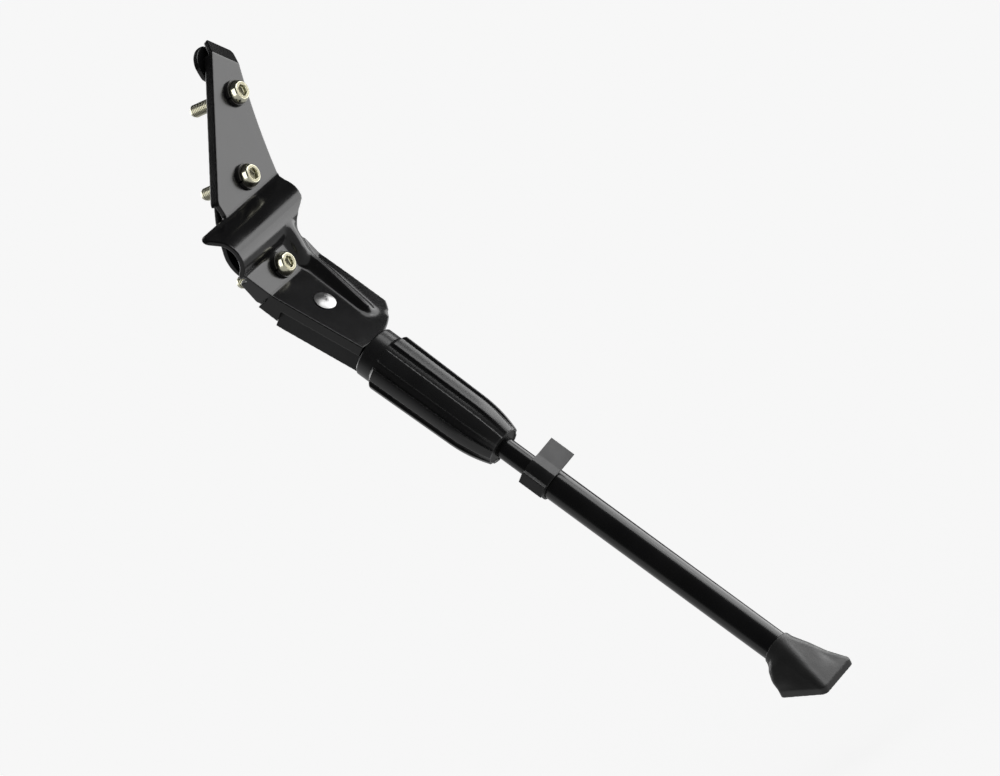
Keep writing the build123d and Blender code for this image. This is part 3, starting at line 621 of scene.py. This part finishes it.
oneBolt = boltMesh()
bm = bmesh.new()
for turn, seat in enumerate(bolt["seats"]):
    before = set(bm.verts)
    bm.from_mesh(oneBolt)
    fresh = [v for v in bm.verts if v not in before]
    spun = Matrix.Rotation(bolt["turnEach"] * turn + bolt["firstTurn"], 3, "Y")
    bmesh.ops.rotate(bm, verts=fresh, cent=(0, 0, 0), matrix=spun)
    bmesh.ops.translate(bm, verts=fresh, vec=Vector(seat) * mm)
boltsMesh = bpy.data.meshes.new("clampBolts")
bm.to_mesh(boltsMesh)
bm.free()
clampBolts = finishPiece("clampBolts", boltsMesh, "bracket", "clamp_bolts", "zincPlate")
boltsMesh.materials.append(finishes["headFace"])
for face in boltsMesh.polygons:
    if face.normal.y < -bolt["faceFrom"]:
        face.material_index = 1
print("bolts made")


# Studio: pale floor and backdrop, softboxes to the right, above and behind, dim room

studio = {
    "pale": 0.93,
    "roomLight": 0.45,
    "mirrorPale": 0.40,
    "ceiling": 0.04,
    "ceilingFrom": -0.02,
    "ceilingTo": 0.07,
    "floorZ": -0.317,
    "floorRadius": 14.0,
    "floorColour": 0.40,
    "floorGlow": 0.75,
    "floorMirror": 0.40,
}
softboxes = {
    "keySoftbox": {
        "centre": (0.47, -0.345, -0.04), "aim": (0.0, -0.10, -0.06), "size": (0.55, 0.54), "radiance": 3.9,
    },
    "topSoftbox": {
        "centre": (0.20, -0.355, 0.205), "aim": (-0.015, -0.09, -0.17), "size": (0.20, 0.28), "radiance": 3.4,
    },
    "fillSoftbox": {
        "centre": (-0.43, -0.22, 0.27), "aim": (0.02, 0.0, 0.02), "size": (0.46, 0.62), "radiance": 2.8,
        "boltsOnly": True,
    },
    "rearSoftbox": {
        "centre": (0.10, 0.62, 0.20), "aim": (0.0, -0.05, -0.08), "size": (0.50, 0.60), "radiance": 3.0,
    },
}


def seesBackdrop(tree):
    path = tree.nodes.new("ShaderNodeLightPath")
    seen = addMath(tree, "MAXIMUM", path.outputs["Is Camera Ray"], path.outputs["Is Glossy Ray"])
    return addMath(tree, "MAXIMUM", seen, path.outputs["Is Transmission Ray"]), path.outputs["Is Glossy Ray"]


world = bpy.data.worlds.new("studio")
scene.world = world
world.use_nodes = True
tree = world.node_tree
seen, glossy = seesBackdrop(tree)
split = tree.nodes.new("ShaderNodeSeparateXYZ")
tree.links.new(tree.nodes.new("ShaderNodeTexCoord").outputs["Generated"], split.inputs[0])
overhead = addRange(tree, split.outputs["Z"], studio["ceilingFrom"], studio["ceilingTo"], 0.0, 1.0)
mirrored = addMix(tree, overhead, (studio["mirrorPale"],) * 3, (studio["ceiling"],) * 3)
backdrop = addMix(tree, glossy, (studio["pale"],) * 3, mirrored)
room = addMix(tree, seen, (studio["roomLight"],) * 3, backdrop)
tree.links.new(room, tree.nodes["Background"].inputs["Color"])

bm = bmesh.new()
bmesh.ops.create_circle(bm, cap_ends=True, segments=96, radius=studio["floorRadius"],
                        matrix=Matrix.Translation((0, 0, studio["floorZ"])))
floorMesh = bpy.data.meshes.new("floor")
bm.to_mesh(floorMesh)
bm.free()
floor = bpy.data.objects.new("floor", floorMesh)
scene.collection.objects.link(floor)
paper = bpy.data.materials.new("floorPaper")
paper.use_nodes = True
tree = paper.node_tree
shader = tree.nodes["Principled BSDF"]
shader.inputs["Base Color"].default_value = (studio["floorColour"],) * 3 + (1,)
shader.inputs["Roughness"].default_value = 0.9
shader.inputs["Specular IOR Level"].default_value = 0.0
seen, glossy = seesBackdrop(tree)
shader.inputs["Emission Color"].default_value = (1, 1, 1, 1)
dimmer = addRange(tree, glossy, 0.0, 1.0, studio["floorGlow"], studio["floorMirror"])
tree.links.new(addMath(tree, "MULTIPLY", seen, dimmer), shader.inputs["Emission Strength"])
floorMesh.materials.append(paper)

offFloor = bpy.data.collections.new("offFloor")
offFloor.objects.link(floor)
offFloor.collection_objects[0].light_linking.link_state = "EXCLUDE"
brightParts = bpy.data.collections.new("brightParts")
brightParts.objects.link(clampBolts)


def hangSoftbox(name, setting):
    lamp = bpy.data.lights.new(name, "AREA")
    lamp.shape = "RECTANGLE"
    lamp.size, lamp.size_y = setting["size"]
    lamp.energy = setting["radiance"] * pi * lamp.size * lamp.size_y
    softbox = bpy.data.objects.new(name, lamp)
    scene.collection.objects.link(softbox)
    beam = Vector(setting["aim"]) - Vector(setting["centre"])
    turn = beam.to_track_quat("-Z", "Y").to_matrix().to_4x4()
    softbox.matrix_world = Matrix.Translation(setting["centre"]) @ turn
    softbox.visible_camera = False
    softbox.light_linking.receiver_collection = brightParts if setting.get("boltsOnly") else offFloor


for softboxName, setting in softboxes.items():
    hangSoftbox(softboxName, setting)
scene.view_settings.view_transform = "Standard"
print("studio lit")
